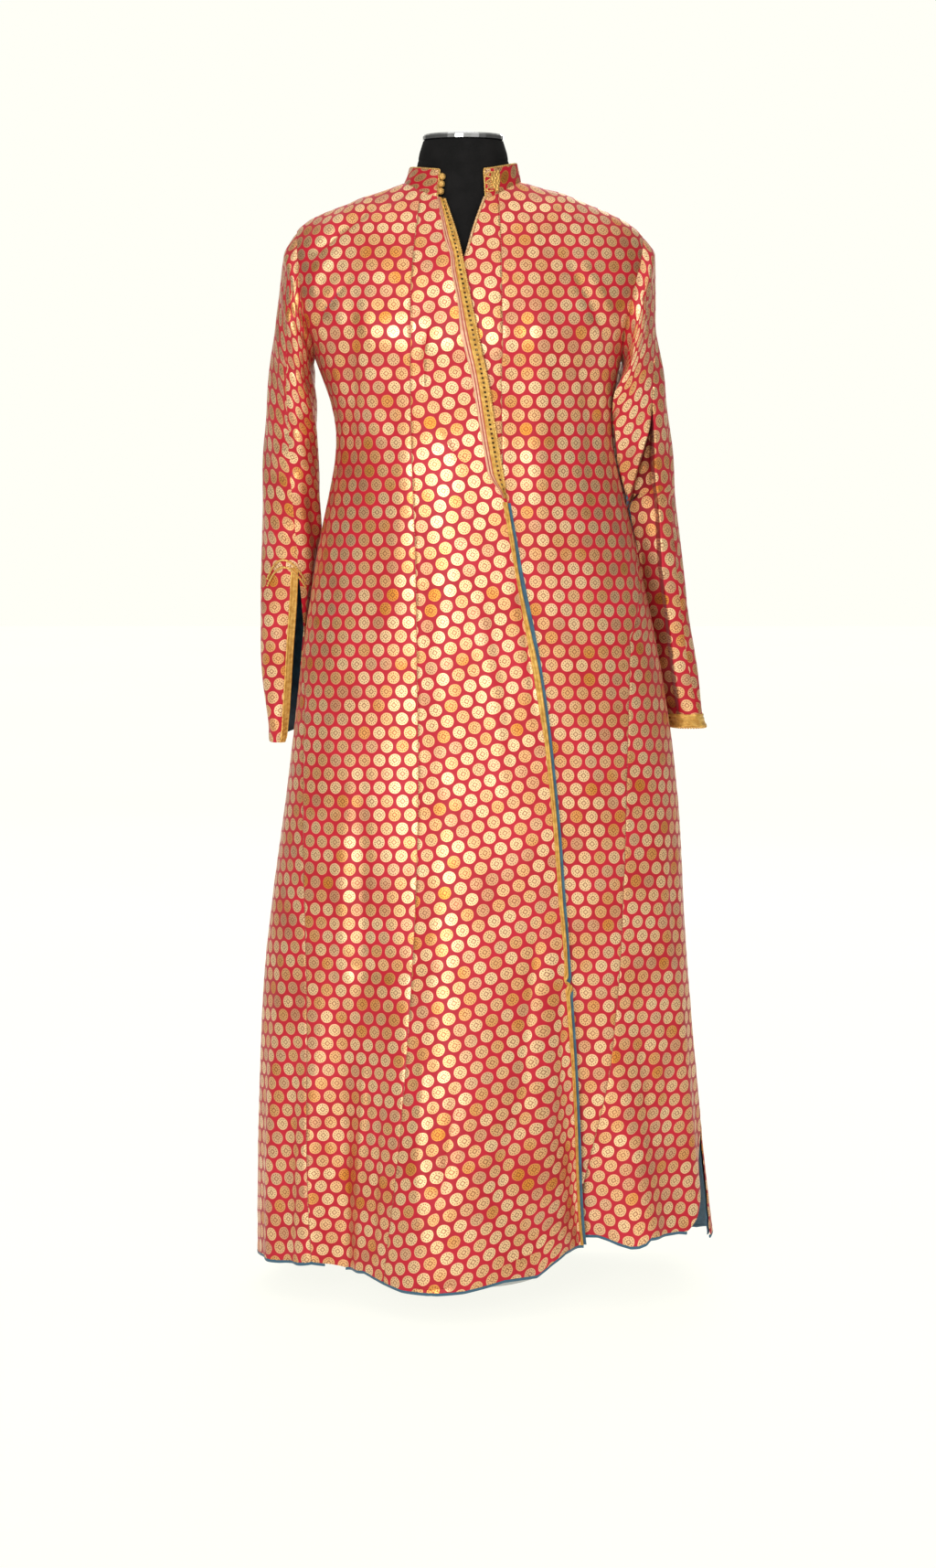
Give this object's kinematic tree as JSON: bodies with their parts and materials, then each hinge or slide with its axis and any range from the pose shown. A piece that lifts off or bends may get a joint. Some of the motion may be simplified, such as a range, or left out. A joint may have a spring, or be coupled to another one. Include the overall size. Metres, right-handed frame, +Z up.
{
  "type": "wedding robe on a limbless dress form",
  "caption": "Full-length brocade wedding robe with a stand collar, a slanted wrap front and long sleeves, on a limbless dress form with a plate stand.",
  "frame": {"origin": "on the underside of the base plate, below the axis of the pole", "axes": "+Z up, -Y the way the robe's front faces, +X the wearer's left"},
  "size_m": [0.5681, 0.4265, 1.4123],
  "materials": {
    "brocade": "crimson silk brocade with gold medallions",
    "gold_braid": "braid of gold thread",
    "blue_cotton": "plain matt",
    "black_jersey": "matt knit",
    "chrome": "polished",
    "steel": "satin"
  },
  "bodies": {
    "root": {"back": "brocade", "back_lining": "blue_cotton", "collar": "brocade", "collar_button_1": "gold_braid", "collar_button_2": "gold_braid", "collar_button_3": "gold_braid", "collar_loop_tab": "gold_braid", "collar_piping": "gold_braid", "form_torso": "black_jersey", "front_braid": "gold_braid", "front_edge_band": "gold_braid", "front_facing": "blue_cotton", "hem_piping_back": "blue_cotton", "hem_piping_left_front": "blue_cotton", "hem_piping_right_front": "blue_cotton", "left_cuff_braid": "gold_braid", "left_front": "brocade", "left_front_gore": "brocade", "left_side_back": "brocade", "left_side_front": "brocade", "left_sleeve": "brocade", "neck_cap": "chrome", "neck_edge_piping": "gold_braid", "right_cuff_trim": "gold_braid", "right_front": "brocade", "right_front_gore": "brocade", "right_side_back": "brocade", "right_side_front": "brocade", "right_sleeve": "brocade", "right_slit_braid": "gold_braid", "right_slit_hook": "gold_braid", "stand_base": "steel", "stand_pole": "steel"}
  },
  "joints": []
}
